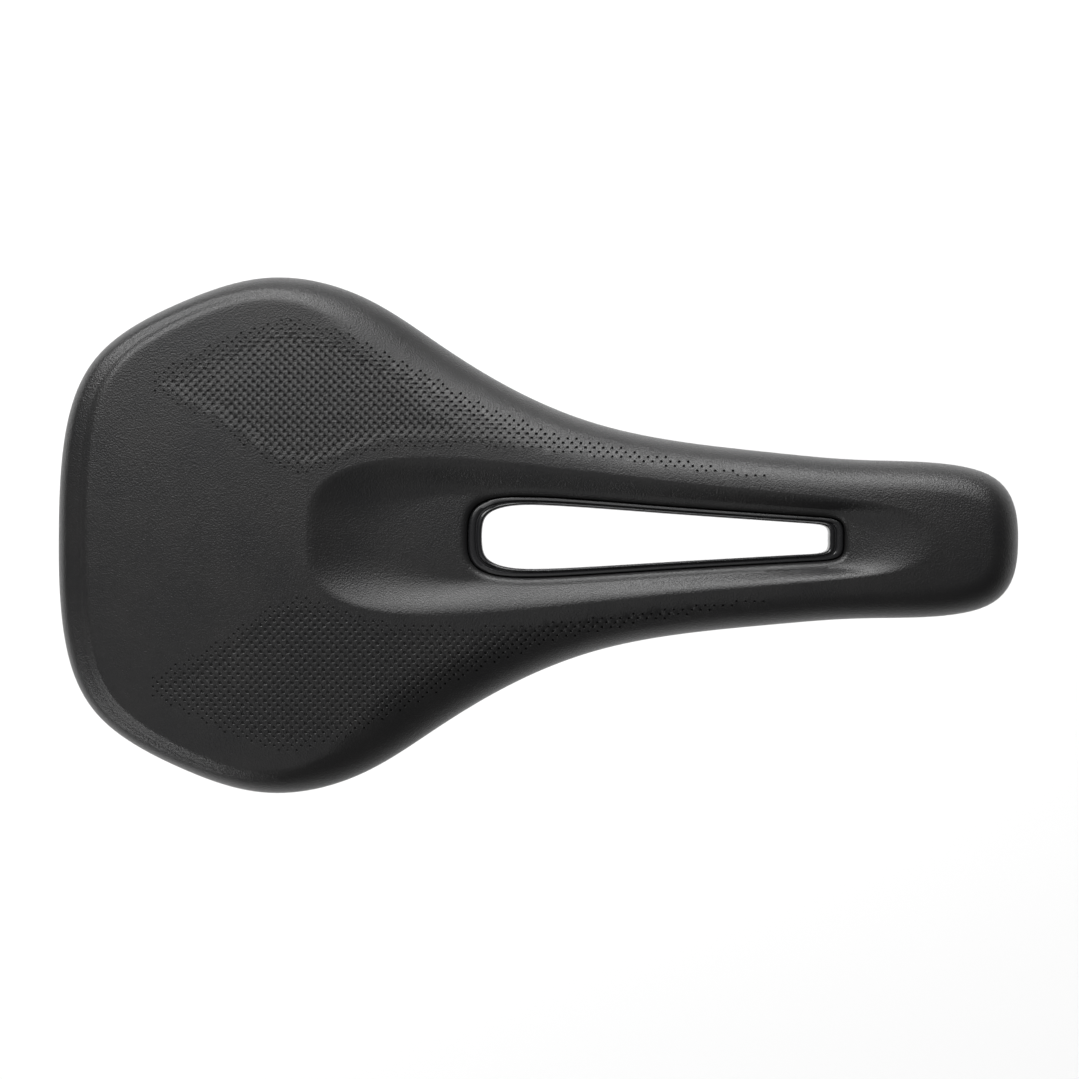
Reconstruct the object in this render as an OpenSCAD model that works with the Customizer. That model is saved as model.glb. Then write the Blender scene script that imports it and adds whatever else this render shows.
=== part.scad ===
// Bicycle saddle with a relief slot, gel inserts and a one-piece steel rail.
// Millimetres. +X points to the nose, +Y to the rider's left, +Z up. The origin is the seatpost clamp
// point: midway between the two rails, on their axes, at the middle of their straight section.

/* [Body] */
// Overall length from the rear edge to the nose
saddle_l = 265; // [258:1:272]
// Width across the widest point of the wings
saddle_w = 142; // [138:1:146]
// Height of the top over the rail axis at the waist
top_h = 46; // [45:0.5:48]
// Thickness of the foam under the sit bones
foam_t = 11; // [10.5:0.1:11.5]
// Thickness of the cover
cover_t = 1; // [0.8:0.1:1.1]
// Wall thickness of the base shell
shell_t = 2.8; // [2.4:0.1:3]

/* [Relief channel] */
// Depth of the channel below the pads
channel_d = 4.5; // [3:0.5:5]
// How far the cover turns down into the slot
lip_h = 5; // [4:0.5:5]

/* [Gel inserts] */
// Thickness of a gel insert at its middle
gel_t = 5; // [4:0.5:6]
// Length of a gel insert
gel_l = 60; // [54:1:62]
// Width of a gel insert
gel_w = 34; // [30:1:36]

/* [Rail] */
// Diameter of the rail rod
rail_d = 7; // [6.9:0.05:7.1]
// Distance between the two rail axes at the clamp
rail_gap = 44; // [43:0.5:45]
// Length of the straight section that the seatpost clamps
clamp_l = 72; // [66:1:74]
// Height of the rail's nose bend over its clamp section
nose_rise = 17; // [16.5:0.5:17.5]
// Height of the rail's rear ends over its clamp section
rear_rise = 26; // [25.5:0.5:26.5]

/* [Fasteners] */
// Thread diameter of the socket screws
screw_d = 4; // [3.5:0.5:4]

/* [Hidden] */

// The design was drawn 265 long and 142 wide; other sizes stretch it.
k_l = saddle_l / 265;
k_w = saddle_w / 142;
// Station of the clamp point, from the rear edge
clamp_station = 125 * k_l;
gap = 0.12;           // room left between neighbouring layers
lip_r = 2;            // rounding where the cover turns down into the slot
skirt_tuck = 1;       // how far the skirt leans in towards its lower edge
foam_edge = 1.4;      // foam thickness down the skirt
skirt_wall = 2.2;     // wall of the shell's skirt
shell_dome = 2;       // height of the shell's rounded edge
hem_h = 7;            // how far the cover runs up inside the skirt
samples = 3;          // points along each span of a loop

// Half loops from the rear centre to the nose centre, as cubic B-spline control points.
// Outline: [station, half-width, rim width, rim height, skirt height, how far up the rim the crease
// runs as a share of its width, depth of the crease]. Only the back has a crease.
OUTLINE = [
    [0, 0, 8, 10, 8, 0.91, 0.7],
    [0.5, 28, 8, 10, 8, 0.91, 0.7],
    [8, 51.5, 8, 10, 8, 0.8, 0.7],
    [34, 65, 8, 10, 8, 0.58, 0.7],
    [58, 73.5, 8.5, 10, 8.5, 0.62, 0.5],
    [84, 67.5, 13, 11, 10, 0.66, 0],
    [104, 53, 20, 14, 11, 0.7, 0],
    [125, 40, 17, 14.5, 12, 0.7, 0],
    [148, 30.5, 12.5, 13.5, 12, 0.7, 0],
    [173, 26, 10.5, 12.5, 11.5, 0.7, 0],
    [202, 23.3, 10, 11.5, 10.5, 0.7, 0],
    [221, 21.4, 9.5, 11, 9.5, 0.7, 0],
    [263, 22, 9, 11, 9, 0.7, 0],
    [266, 0, 9, 11.5, 8.5, 0.7, 0]
];
// Upper edge of the channel's walls: [station, half-width, where the wall begins on the way there
// from the slot, sharpness of the upper edge]. A wall that begins before the slot is steepest there.
CHANNEL = [
    [69, 0, 0.4, 1],
    [69, 8, 0.4, 1],
    [72, 14, 0.35, 1],
    [79, 18.5, 0.2, 0.8],
    [90, 21, 0, 0.4],
    [103, 22, -0.3, 0],
    [117, 21.5, -0.5, 0],
    [135, 19.5, -0.5, 0],
    [155, 17.2, -0.5, 0],
    [176, 14.8, -0.5, 0],
    [199, 12.8, -0.5, 0],
    [218, 11, -0.4, 0],
    [237, 8.5, -0.35, 0],
    [244, 0, -0.35, 0]
];
// Where the cover turns down into the slot: [station, half-width]
SLOT_WALL = [
    [112.5, 0], [112.5, 2.6], [112.8, 5.2], [113.9, 7.7], [116.5, 9.8], [121.5, 11.2], [131, 11.4],
    [144, 10.6], [158, 9.6], [174, 8.4], [192, 7.3], [208, 6.3], [216.5, 5.8], [216, 0]
];
// The open slot, inside its liner: [station, half-width]
SLOT = [
    [116.5, 0], [116.6, 2.2], [116.9, 4.4], [118, 6.2], [120.5, 7.7], [125, 8.7], [131.5, 8.9],
    [144, 8.25], [158, 7.3], [174, 6.2], [192, 5.1], [206, 4.2], [212.6, 3.9], [211.8, 0]
];
// Spaced evenly from one step behind the rear edge: height over top_h, crown per square mm of
// half-width, and the foam's thickness over foam_t
SPINE = [-3, 1.5, 4, 3.3, 1, 0, 0, -1, -6.5, -16];
CROWN = [0.001, 0.001, 0.001, 0.0012, 0.002, 0.0027, 0.0033, 0.004, 0.004, 0.004];
FOAM = [0, 0, 0, -0.3, -1, -1.5, -2, -2, -2, -2];

// Rows of the skin, as shares of each zone
LIP_ANGLES = [0, 45];
CHANNEL_SHARES = [0, 0.2, 0.4, 0.6, 0.8, 1];
PAD_SHARES = [0.35, 0.7, 1];
RIM_ANGLES = [36, 54, 72, 90];
SHELL_SHARES = [0.3, 0.55, 0.75, 0.9, 1];

// ---- splines ----

function spline_weights(f) = [
    pow(1 - f, 3) / 6,
    (3 * pow(f, 3) - 6 * pow(f, 2) + 4) / 6,
    (-3 * pow(f, 3) + 3 * pow(f, 2) + 3 * f + 1) / 6,
    pow(f, 3) / 6
];
function slope_weights(f) = [
    -pow(1 - f, 2) / 2,
    (3 * pow(f, 2) - 4 * f) / 2,
    (-3 * pow(f, 2) + 2 * f + 1) / 2,
    pow(f, 2) / 2
];
function blended(points, first, w) = let (n = len(points))
    w[0] * points[first % n] + w[1] * points[(first + 1) % n]
    + w[2] * points[(first + 2) % n] + w[3] * points[(first + 3) % n];

// A half loop in the part's frame, closed by its own mirror image
function closed(half) = let (placed = [for (p = half) [
    for (c = [0:len(p) - 1]) c == 0 ? p[0] * k_l - clamp_station : c == 1 ? p[1] * k_w : p[c]
]]) concat(placed, [for (k = [len(half) - 2:-1:1]) [
    for (c = [0:len(half[k]) - 1]) c == 1 ? -placed[k][1] : placed[k][c]
]]);
function loop_point(loop, i) = let (u = i / samples, n = len(loop))
    blended(loop, floor(u) + n - 1, spline_weights(u - floor(u)));
function loop_slope(loop, i) = let (u = i / samples, n = len(loop))
    blended(loop, floor(u) + n - 1, slope_weights(u - floor(u)));
// Unit vector across a loop, to its inside
function loop_inward(loop, i) = let (d = loop_slope(loop, i), n = norm([d[0], d[1]]))
    [d[1] / n, -d[0] / n];
function along(list, x) = let (
    t = min(max((x + clamp_station) / saddle_l * 7, 0), 6.9999),
    w = spline_weights(t - floor(t))
) w[0] * list[floor(t)] + w[1] * list[floor(t) + 1] + w[2] * list[floor(t) + 2] + w[3] * list[floor(t) + 3];

// ---- the shape of the saddle ----

// Height of the pads' surface, with no channel and no rim
function pad_z(p) = top_h + along(SPINE, p[0]) - along(CROWN, p[0]) * p[1] * p[1];
// Depth of the channel a share q of the way from the slot to its upper edge, as a share of the whole
function channel_wall(q, begins, sharp) = let (t = max((q - begins) / (1 - begins), 0))
    1 - t * t * toward(3 - 2 * t, 1, sharp);
function toward(a, b, q) = a * (1 - q) + b * q;

outline_loop = closed(OUTLINE);
channel_loop = closed(CHANNEL);
slot_wall_loop = closed(SLOT_WALL);
slot_loop = closed(SLOT);
n_around = len(outline_loop) * samples;

// What each section round the saddle is drawn from:
// [edge point, inward direction, rim width, rim height, skirt height, channel point, slot wall point,
//  direction away from the slot, slot point, where the channel's wall begins, place and depth of the
//  crease, sharpness of the channel's edge]
function flat(p) = [p[0], p[1]];
sections = [for (i = [0:n_around - 1]) let (
    o = loop_point(outline_loop, i),
    c = loop_point(channel_loop, i),
    away = -loop_inward(slot_wall_loop, i)
) [flat(o), loop_inward(outline_loop, i), o[2], o[3], o[4],
   flat(c), flat(loop_point(slot_wall_loop, i)), away, flat(loop_point(slot_loop, i)), c[2], o[5], o[6], c[3]]];

function rim_start(g) = g[0] + g[1] * g[2];
function equator(g) = pad_z(g[0]) - g[3];
function hem_z(g) = equator(g) - g[4];
function floor_z(g) = pad_z(g[6] + g[7] * lip_r) - channel_d * channel_wall(0, g[9], g[12]);
function at(p, z) = [p[0], p[1], z];

// A layer of the padded skin, a distance e under the outer surface: one row per line of points
function lip_row(e, a) = [for (g = sections)
    at(g[6] + g[7] * (lip_r - (lip_r - e) * cos(a)), floor_z(g) - lip_r + (lip_r - e) * sin(a))];
function channel_row(e, q) = [for (g = sections) let (p = toward(g[6] + g[7] * lip_r, g[5], q))
    at(p, pad_z(p) - channel_d * channel_wall(q, g[9], g[12]) - e)];
function pad_row(e, q) = [for (g = sections) let (p = toward(g[5], rim_start(g), q)) at(p, pad_z(p) - e)];
function rim_spot(g, e, a, drop) = let (p = g[0] + g[1] * (g[2] - (g[2] - e) * sin(a)))
    at(p, pad_z(p) - g[3] + (g[3] - e) * cos(a) - drop);
// The rim lies lower outside the crease
function ledge(g) = 0.9 * g[11];
function crease_rows(e) = [
    [for (g = sections) rim_spot(g, e, asin((1 - g[10]) / 2), 0)],
    [for (g = sections) rim_spot(g, e, asin(1 - g[10]), g[11])],
    [for (g = sections) rim_spot(g, e, asin(1 - 0.86 * g[10]), ledge(g))]
];
function rim_row(e, a) = [for (g = sections) rim_spot(g, e, a, ledge(g) * cos(a))];
function skirt_row(e, v, lift = 0) = [for (g = sections)
    at(g[0] + g[1] * (e + skirt_tuck * v * v), max(equator(g) - g[4] * v, hem_z(g) + lift))];
function skin_rows(e, lift) = concat(
    [for (a = LIP_ANGLES) lip_row(e, a)],
    [for (q = CHANNEL_SHARES) channel_row(e, q)],
    [for (q = PAD_SHARES) pad_row(e, q)],
    crease_rows(e),
    [for (a = RIM_ANGLES) rim_row(e, a)],
    [skirt_row(e, 0.5, lift), skirt_row(e, 1, lift)]
);

// The shell's upper face, or a face a distance d below it. It lies deep under the pads and rises to
// the rim over the outer half of the way.
shell_inset = cover_t + gap + foam_edge + gap;
function shell_deep(p) = pad_z(p) - cover_t - 2 * gap - foam_t - along(FOAM, p[0]);
function shell_z(g, p, q) = let (t = max(2 * q - 1, 0))
    toward(shell_deep(p), pad_z(p) - g[3] + shell_dome, t * t * (3 - 2 * t));
function shell_channel_row(d, q) = [for (g = sections) let (p = toward(g[6] + g[7] * gap, g[5], q))
    at(p, shell_deep(p) - d)];
function shell_pad_row(d, q) = [for (g = sections) let (p = toward(g[5], rim_start(g), q))
    at(p, shell_z(g, p, q) - d)];
function shell_rim_row(e, a) = [for (g = sections) let (p = g[0] + g[1] * (g[2] - (g[2] - e) * sin(a)))
    at(p, pad_z(p) - g[3] + shell_dome * cos(a))];
function shell_corner_row(e, d) = [for (g = sections) at(g[0] + g[1] * e, equator(g) + shell_dome - d)];
function shell_top_rows(e, d, lift) = concat(
    [for (q = [0, 0.5, 1]) shell_channel_row(d, q)],
    [for (q = SHELL_SHARES) shell_pad_row(d, q)],
    [for (a = [30, 60, 90]) shell_rim_row(e, a)],
    [skirt_row(e, 0.5, lift), skirt_row(e, 1, lift)]
);
function shell_under_rows(e, lift) = concat(
    [for (q = [0, 0.5, 1]) shell_channel_row(shell_t, q)],
    [for (q = SHELL_SHARES) shell_pad_row(shell_t, q)],
    [shell_corner_row(e + 1.6, shell_t + 0.1), shell_corner_row(e + 0.3, shell_t + 1)],
    [skirt_row(e, 0.5, lift), skirt_row(e, 1, lift)]
);

function reversed(rows) = [for (i = [len(rows) - 1:-1:0]) rows[i]];

// A solid ring from rows that follow its cross-section once round
module ring_solid(rows) {
    m = len(rows);
    n = len(rows[0]);
    corner = function (j, i) (j % m) * n + i % n;
    polyhedron(
        points = [for (r = rows) each r],
        faces = [for (j = [0:m - 1], i = [0:n - 1]) each [
            [corner(j, i), corner(j + 1, i), corner(j + 1, i + 1)],
            [corner(j, i), corner(j + 1, i + 1), corner(j, i + 1)]
        ]],
        convexity = 10
    );
}

// ---- soft parts ----

// Microfibre cover: lines the slot's edge, wraps the pad and turns up inside the skirt
module cover() {
    far = shell_inset + skirt_wall + gap;   // inner face of the turned-up hem
    slot_end = function (e) [for (g = sections) at(g[6] + g[7] * e, floor_z(g) - lip_h)];
    hem = function (e, h) [for (g = sections) at(g[0] + g[1] * (e + skirt_tuck), hem_z(g) + h)];
    color("#242426") ring_solid(concat(
        [slot_end(0)],
        skin_rows(0, 0),
        [hem(far + cover_t - 0.4, 0), hem(far + cover_t, 0.5), hem(far + cover_t, hem_h)],
        [hem(far, hem_h), hem(far, cover_t)],
        reversed(skin_rows(cover_t, cover_t)),
        [slot_end(cover_t)]
    ));
}

// Moulded foam, with a pocket over each sit bone for a gel insert
module foam_pad() {
    e = cover_t + gap;
    low = cover_t + gap;
    under_row = function (q) [for (g = sections) let (p = toward(g[6] + g[7] * e, g[5], q))
        at(p, shell_deep(p) + gap)];
    color("#3a3a3d") difference() {
        ring_solid(concat(
            [under_row(0)],
            skin_rows(e, low),
            [skirt_row(e + foam_edge, 1, low), skirt_row(e + foam_edge, 0.5, low)],
            [for (a = [90, 60, 30]) [for (g = sections) let (
                p = g[0] + g[1] * (g[2] - (g[2] - e - foam_edge) * sin(a))
            ) at(p, pad_z(p) - g[3] + shell_dome * cos(a) + gap * cos(a))]],
            reversed([for (q = SHELL_SHARES) shell_pad_row(-gap, q)]),
            [under_row(1), under_row(0.5)]
        ));
        gel_blank(1, 0.3, 2);
        gel_blank(-1, 0.3, 2);
    }
}

// A lens under the pad's surface. side is 1 on the left and -1 on the right, grow widens it, and lift
// raises its top to cut a pocket.
gel_station = 50;
gel_offset = 35;
gel_turn = 28;
module gel_blank(side, grow, lift) {
    rings = [0.4, 0.75, 0.93, 1];
    n = 28;
    spot = function (r, a) let (
        u = r * (gel_l / 2 + grow) * cos(a), v = r * (gel_w / 2 + grow) * sin(a)
    ) [gel_station * k_l - clamp_station + u * cos(gel_turn) - v * sin(gel_turn),
       side * (gel_offset * k_w + u * sin(gel_turn) + v * cos(gel_turn))];
    top = function (p) pad_z(p) - cover_t - 2 * gap + lift;
    under = function (p, r) pad_z(p) - cover_t - 2 * gap - grow - gel_t * (1 - 0.65 * pow(r, 4));
    m = len(rings);
    points = concat(
        [let (p = spot(0, 0)) at(p, top(p)), let (p = spot(0, 0)) at(p, under(p, 0))],
        [for (r = rings, i = [0:n - 1]) let (p = spot(r, i * 360 / n)) at(p, top(p))],
        [for (r = rings, i = [0:n - 1]) let (p = spot(r, i * 360 / n)) at(p, under(p, r))]
    );
    upper = function (j, i) 2 + j * n + i % n;
    lower = function (j, i) 2 + m * n + j * n + i % n;
    quad = function (a, b, c, d) [[a, b, c], [a, c, d]];
    faces = [for (i = [0:n - 1]) each concat(
        [[0, upper(0, i + 1), upper(0, i)], [1, lower(0, i), lower(0, i + 1)]],
        [for (j = [0:m - 2]) each concat(
            quad(upper(j, i), upper(j, i + 1), upper(j + 1, i + 1), upper(j + 1, i)),
            quad(lower(j, i), lower(j + 1, i), lower(j + 1, i + 1), lower(j, i + 1))
        )],
        quad(upper(m - 1, i), upper(m - 1, i + 1), lower(m - 1, i + 1), lower(m - 1, i))
    )];
    polyhedron(
        points = points,
        faces = side > 0 ? faces : [for (f = faces) [f[2], f[1], f[0]]],
        convexity = 6
    );
}

module gel_insert_left() {
    color("#4f6f86") gel_blank(1, 0, 0);
}

module gel_insert_right() {
    color("#4f6f86") gel_blank(-1, 0, 0);
}

// ---- base shell ----

rear_boss_z = rear_rise + 6.2;              // top face of the rear sockets
nose_boss_z = nose_rise + 9;                // top face of the nose socket
boss_r = 4.6;
// Where a boss ends inside the shell, which has begun to rise to its rim over the rear sockets
function boss_bite(p) = p[0] < 0 ? 0.4 : -shell_t / 2;
insert_r = 2.9;                             // thread inserts
insert_h = 4;
insert_fit = 0.03;
insert_sink = 0.02;                         // how far an insert sits inside its boss

rear_axis_x = -94;                          // middle of a rear socket
rear_axis_y = 29.8;
rear_turn = 5;                              // how far a rear socket splays out
rear_screw_gap = 20;
NOSE_SCREWS = [[100.5, 0], [110, 0]];
function rear_screw_spots(side) = [for (s = [-1, 1]) [
    rear_axis_x + s * rear_screw_gap / 2 * sin(rear_turn),
    side * (rear_axis_y + s * rear_screw_gap / 2 * cos(rear_turn))
]];
function mount_spots() = concat(
    [for (p = concat(rear_screw_spots(1), rear_screw_spots(-1))) at(p, rear_boss_z)],
    [for (p = NOSE_SCREWS) at(p, nose_boss_z)]
);

// Nylon base: a shallow pan with a slot and six screw bosses
module base_shell() {
    low = cover_t + gap;
    color("#1d1d1f") difference() {
        union() {
            ring_solid(concat(
                shell_top_rows(shell_inset, 0, low),
                reversed(shell_under_rows(shell_inset + skirt_wall, low))
            ));
            for (p = mount_spots()) translate(p)
                cylinder(r = boss_r, h = shell_deep(p) + boss_bite(p) - p[2], $fn = 32);
        }
        for (p = mount_spots()) translate(p - [0, 0, 1])
            cylinder(r = insert_r + insert_fit, h = insert_h + 1.1, $fn = 32);
    }
}

// Trim ring pressed into the slot from above. It holds the cover's edge and hooks under the shell.
liner_sink = 1.6;                           // how far its rim lies under the channel's floor
liner_hook = 1.6;                           // reach of its hook under the shell
liner_hook_t = 1.8;
module slot_liner() {
    side = function (q, z) [for (g = sections) at(toward(g[6] - g[7] * gap, g[8], q), z(g))];
    hook = function (e, z) [for (g = sections) at(g[6] + g[7] * e, z(g))];
    top = function (g) floor_z(g) - liner_sink;
    under = function (g) shell_deep(g[6]) - shell_t - 2 * gap;
    low = function (g) under(g) - liner_hook_t;
    color("#161617") ring_solid([
        side(0, function (g) top(g) - 0.5),
        side(0.15, function (g) top(g)),
        side(0.75, function (g) top(g) - 0.1),
        side(1, function (g) top(g) - 0.8),
        side(1, low),
        side(0.7, function (g) low(g) - 0.2),
        hook(liner_hook, low),
        hook(liner_hook, under),
        hook(-gap, under)
    ]);
}

// ---- rail ----

rod_fit = 0.06;                             // radial room round the rod in its bushes
bush_t = 0.8;                               // wall of a bush
bush_r = rail_d / 2 + rod_fit + bush_t;
bore_r = bush_r + 0.03;
nose_r = 10;                                // bend radius at the front of the nose
rear_corner = -clamp_l / 2 - 9.9;
front_corner = clamp_l / 2 + 9.2;
rail_path = [
    // [corner, bend radius]; the left half, from the rear end to the nose
    [[-101, 30.4, rear_rise], 0],
    [[-76, 28, rear_rise], 18],
    [[rear_corner, rail_gap / 2, 0], 26],
    [[front_corner, rail_gap / 2, 0], 40],
    [[90, nose_r, nose_rise], 24],
    [[118, nose_r, nose_rise], nose_r]
];

function unit(v) = v / norm(v);
function bend_angle(a, b, c) = acos(unit(b - a) * unit(c - b));

// A rod of diameter d through corners that are rounded to their bend radii. A hairline sleeve, half of
// it over the straight and half over the bend, closes every place where a straight meets a bend.
sleeve_l = 1;
sleeve_t = 0.03;
module bent_rod(path, d) {
    n = len(path);
    p = function (i) path[i][0];
    reach = function (i) i == 0 || i == n - 1 ? 0
        : path[i][1] * tan(bend_angle(p(i - 1), p(i), p(i + 1)) / 2);
    trim = sleeve_l / 4;
    for (i = [0:n - 2]) {
        u = unit(p(i + 1) - p(i));
        from = reach(i) + (i == 0 ? 0 : trim);
        to = norm(p(i + 1) - p(i)) - reach(i + 1) - (i == n - 2 ? 0 : trim);
        translate(p(i)) point_along(u) {
            if (to > from) translate([0, 0, from]) cylinder(d = d, h = to - from, $fn = 48);
            if (i > 0) translate([0, 0, reach(i) - sleeve_l / 2])
                cylinder(d = d + 2 * sleeve_t, h = sleeve_l, $fn = 48);
            if (i < n - 2) translate([0, 0, to + trim - sleeve_l / 2])
                cylinder(d = d + 2 * sleeve_t, h = sleeve_l, $fn = 48);
        }
    }
    for (i = [1:n - 2]) {
        u = unit(p(i) - p(i - 1));
        v = unit(p(i + 1) - p(i));
        side = unit(cross(cross(u, v), u));
        skip = trim / path[i][1] * 180 / PI;
        // the arc starts at the end of the straight before it, about a centre on the bend's inner side
        translate(p(i) - u * reach(i) + side * path[i][1])
            multmatrix([
                [-side[0], u[0], cross(-side, u)[0], 0],
                [-side[1], u[1], cross(-side, u)[1], 0],
                [-side[2], u[2], cross(-side, u)[2], 0],
                [0, 0, 0, 1]
            ])
            rotate([0, 0, skip])
            rotate_extrude(angle = acos(u * v) - 2 * skip, $fn = 96)
            translate([path[i][1], 0])
            circle(d = d, $fn = 48);
    }
}

// Turns +Z onto a direction
module point_along(u) {
    rotate([0, acos(u[2]), atan2(u[1], u[0])]) children();
}

function mirror_y(p) = [p[0], -p[1], p[2]];
full_rail_path = concat(
    rail_path,
    [for (i = [len(rail_path) - 1:-1:0]) [mirror_y(rail_path[i][0]), rail_path[i][1]]]
);

module rail() {
    color("#2c2d2f") bent_rod(full_rail_path, rail_d);
}

// ---- sockets ----

socket_r = 6.4;
socket_l = 20;
socket_floor = 2.4;                         // closed end behind the rail
flange_t = 3.4;
hole_r = screw_d / 2 + 0.2;                 // clearance for a screw
head_r = screw_d + 0.1;                     // clearance for its head

rear_end = rail_path[0][0];
heading = unit(rear_end - rail_path[1][0]);

// Moulded socket for one rear end of the rail, hung from two bosses of the shell
module rear_socket(side) {
    base = rear_end + heading * socket_floor;
    mirror([0, side > 0 ? 0 : 1, 0]) difference() {
        union() {
            translate(base) point_along(-heading) cylinder(r = socket_r, h = socket_l, $fn = 48);
            translate([rear_axis_x, rear_axis_y, rear_boss_z - flange_t]) rotate([0, 0, -rear_turn])
                linear_extrude(flange_t) flange_outline();
            // webs from the flange's ears down to the barrel
            translate([rear_axis_x, rear_axis_y, rear_rise - 1.5]) rotate([0, 0, -rear_turn])
                translate([-1.5, -8, 0]) cube([3, 16, rear_boss_z - rear_rise]);
        }
        translate(rear_end + heading * 0.05) point_along(-heading)
            cylinder(r = bore_r, h = socket_l + 5, $fn = 48);
        for (p = rear_screw_spots(1)) translate(at(p, rear_boss_z - flange_t - 1)) {
            cylinder(r = hole_r, h = flange_t + 2, $fn = 32);
            translate([0, 0, -9]) cylinder(r = head_r, h = 10, $fn = 32);
        }
    }
}

flange_w = 14;
ear_r = 5.2;
module flange_outline() {
    square([flange_w, rear_screw_gap], center = true);
    for (s = [-1, 1]) translate([0, s * rear_screw_gap / 2]) circle(r = ear_r, $fn = 48);
}

// Thin sleeve that keeps the rail's end from creaking in its socket
module rear_bush(side) {
    mirror([0, side > 0 ? 0 : 1, 0]) translate(rear_end) point_along(-heading) difference() {
        cylinder(r = bush_r, h = socket_l - socket_floor - 0.2, $fn = 48);
        translate([0, 0, -1]) cylinder(r = rail_d / 2 + rod_fit, h = socket_l + 2, $fn = 48);
    }
}

module rear_bush_left() {
    color("#2b2b2d") rear_bush(1);
}

module rear_bush_right() {
    color("#2b2b2d") rear_bush(-1);
}

module rear_socket_left() {
    color("#19191a") rear_socket(1);
}

module rear_socket_right() {
    color("#19191a") rear_socket(-1);
}

// The two halves of the nose clamp close on the rail's nose bend
nose_front = 123.5;
nose_back = 94.5;
nose_half_w = 15.8;
keeper_h = 5.6;
keeper_bevel = 1.5;
head_sink = 2.2;                            // depth of a screw head's counterbore
socket_wide_h = 4.5;
socket_step = 4.5;                          // how much narrower the upper part is, all round
split = 0.1;                                // half the gap between the two halves
module nose_outline(shrink) {
    r = 6;
    back = nose_back + shrink;
    half = nose_half_w - shrink;
    front = nose_front - shrink - r * 1.9;
    translate([back, -half]) square([front - back, 2 * half]);
    translate([front, -half + r]) square([r, 2 * half - 2 * r]);
    for (s = [-1, 1]) translate([front, s * (half - r)]) circle(r = r, $fn = 48);
    translate([front, 0]) circle(r = r * 1.9, $fn = 96);
}

// Bent sleeve that keeps the nose bend from creaking
nose_bush_angle = 150;
module nose_bush() {
    color("#2b2b2d") translate([rail_path[5][0][0] - nose_r, 0, nose_rise])
        rotate([0, 0, -nose_bush_angle / 2]) rotate_extrude(angle = nose_bush_angle, $fn = 96)
        translate([nose_r, 0]) difference() {
            circle(r = bush_r, $fn = 48);
            circle(r = rail_d / 2 + rod_fit, $fn = 48);
        }
}

module screw_holes(z0, z1, r) {
    for (p = NOSE_SCREWS) translate(at(p, z0)) cylinder(r = r, h = z1 - z0, $fn = 32);
}

// Upper half: a wide part over the rail and a narrower one up to the shell's bosses
module nose_socket() {
    color("#19191a") difference() {
        union() {
            translate([0, 0, nose_rise + split]) linear_extrude(socket_wide_h) nose_outline(0);
            translate([0, 0, nose_rise + socket_wide_h])
                linear_extrude(nose_boss_z - nose_rise - socket_wide_h) nose_outline(socket_step);
        }
        bent_rod(full_rail_path, 2 * bore_r);
        screw_holes(nose_rise - 1, nose_boss_z + 1, hole_r);
    }
}

// Lower half, with a bevelled lower edge and a counterbore for each screw head
module nose_keeper() {
    low = nose_rise - keeper_h;
    color("#19191a") difference() {
        union() {
            translate([0, 0, low + keeper_bevel]) linear_extrude(keeper_h - keeper_bevel - split)
                nose_outline(0);
            translate([0, 0, low]) linear_extrude(2) nose_outline(keeper_bevel);
        }
        bent_rod(full_rail_path, 2 * bore_r);
        screw_holes(low - 1, nose_rise + 1, hole_r);
        screw_holes(low - 1, low + head_sink, screw_d);
    }
}

// ---- fasteners ----

// Pan-head screw, head down, with its head's seat at z = 0
head_h = 2;
grip = 3.4;                                 // how far a screw reaches into its thread insert
module screw(length) {
    difference() {
        union() {
            translate([0, 0, -head_h])
                cylinder(r1 = screw_d * 0.72, r2 = screw_d * 0.95, h = head_h, $fn = 48);
            translate([0, 0, -0.05]) cylinder(d = screw_d - 0.1, h = length, $fn = 32);
        }
        translate([0, 0, -head_h - 0.5]) cylinder(r = screw_d * 0.36, h = 1.9, $fn = 6);
    }
}

module nose_screws() {
    seat = nose_rise - keeper_h + head_sink;
    color("#b9bcc0") for (p = NOSE_SCREWS) translate(at(p, seat)) screw(nose_boss_z + grip - seat);
}

module rear_screws(side) {
    seat = rear_boss_z - flange_t;
    color("#b9bcc0") for (p = rear_screw_spots(side)) translate(at(p, seat)) screw(flange_t + grip);
}

module rear_screws_left() {
    rear_screws(1);
}

module rear_screws_right() {
    rear_screws(-1);
}

// Brass sleeves pressed into the shell's bosses for the screws
module thread_inserts(spots) {
    color("#b08d57") for (p = spots) translate(p + [0, 0, insert_sink]) difference() {
        cylinder(r = insert_r, h = insert_h, $fn = 48);
        translate([0, 0, -1]) cylinder(d = screw_d + 0.1, h = insert_h + 2, $fn = 32);
    }
}

module nose_thread_inserts() {
    thread_inserts([for (p = NOSE_SCREWS) at(p, nose_boss_z)]);
}

module rear_thread_inserts_left() {
    thread_inserts([for (p = rear_screw_spots(1)) at(p, rear_boss_z)]);
}

module rear_thread_inserts_right() {
    thread_inserts([for (p = rear_screw_spots(-1)) at(p, rear_boss_z)]);
}

cover();
foam_pad();
gel_insert_left();
gel_insert_right();
base_shell();
slot_liner();
rail();
nose_socket();
nose_keeper();
nose_bush();
nose_screws();
nose_thread_inserts();
rear_socket_left();
rear_socket_right();
rear_bush_left();
rear_bush_right();
rear_screws_left();
rear_screws_right();
rear_thread_inserts_left();
rear_thread_inserts_right();
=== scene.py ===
"""Looks of a bicycle saddle: cover, slot liner, base shell, rail and sockets, round its CAD frame.

Lengths in the shape tables are in millimetres and everything that reaches Blender is in metres.
"""

import math

import bmesh
import bpy
import numpy as np
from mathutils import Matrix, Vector
from mathutils.bvhtree import BVHTree
from mathutils.geometry import delaunay_2d_cdt

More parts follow.
